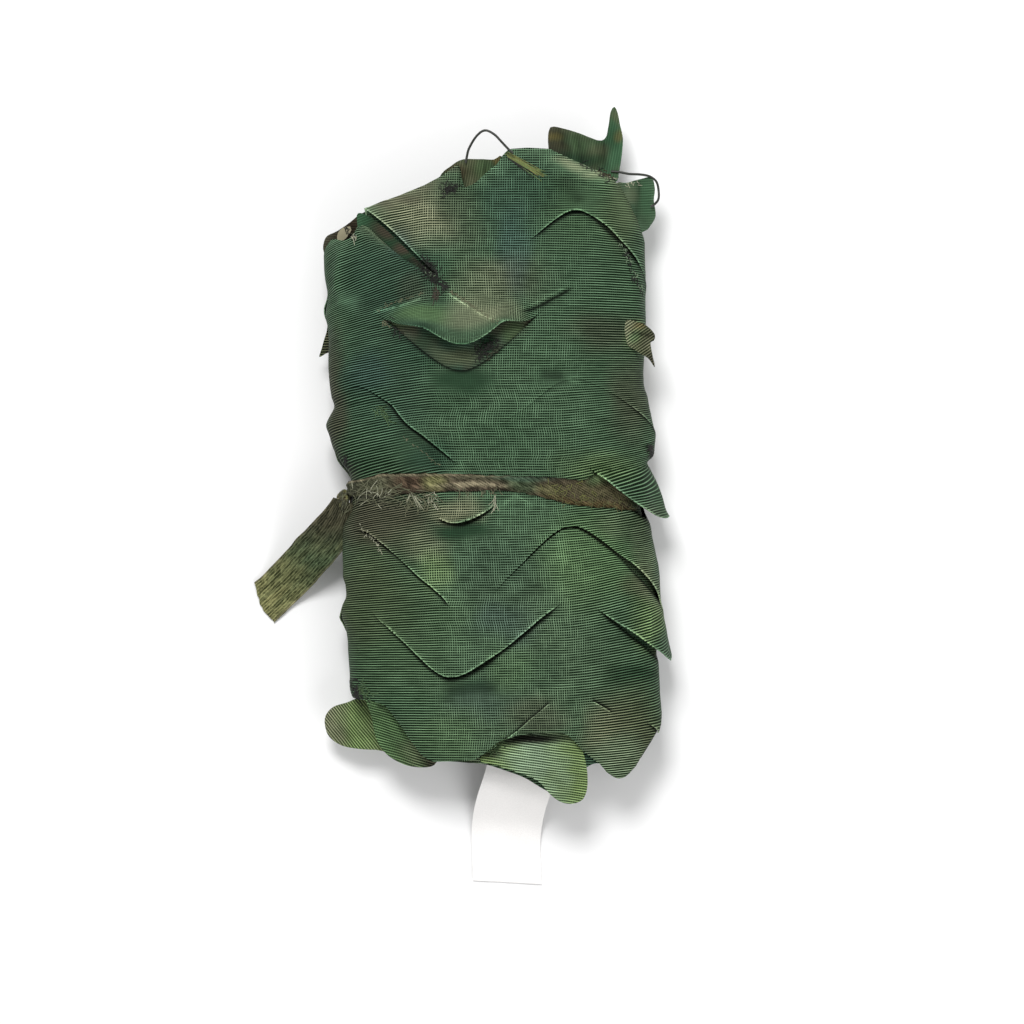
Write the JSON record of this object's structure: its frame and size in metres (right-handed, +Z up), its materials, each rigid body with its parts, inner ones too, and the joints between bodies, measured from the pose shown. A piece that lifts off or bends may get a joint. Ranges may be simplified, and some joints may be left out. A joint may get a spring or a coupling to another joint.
{
  "type": "rolled camouflage netting",
  "caption": "Leaf-cut camouflage netting, rolled up flat and tied round its middle with a cloth strap; a blank tab hangs from one end.",
  "frame": {"origin": "on the surface that the bundle rests on, under the middle of its box", "axes": "+Y along the roll towards the end with the cord loops, +X across it, away from the strap's free end, +Z up from the surface"},
  "size_m": [0.2079, 0.3925, 0.06],
  "materials": {
    "leaf_cut_cloth": "woven polyester printed in blotches of green, olive and brown-grey, dull with a faint sheen",
    "strap_cloth": "brown-olive woven strap, crumpled, with frayed edges",
    "label_cloth": "plain white woven tab, smooth and blank",
    "edge_cord": "thin dark twisted cord"
  },
  "bodies": {
    "root": {"netting_roll": "leaf_cut_cloth", "tie": "strap_cloth", "label": "label_cloth", "edge_cord_left": "edge_cord", "edge_cord_right": "edge_cord"}
  },
  "joints": []
}
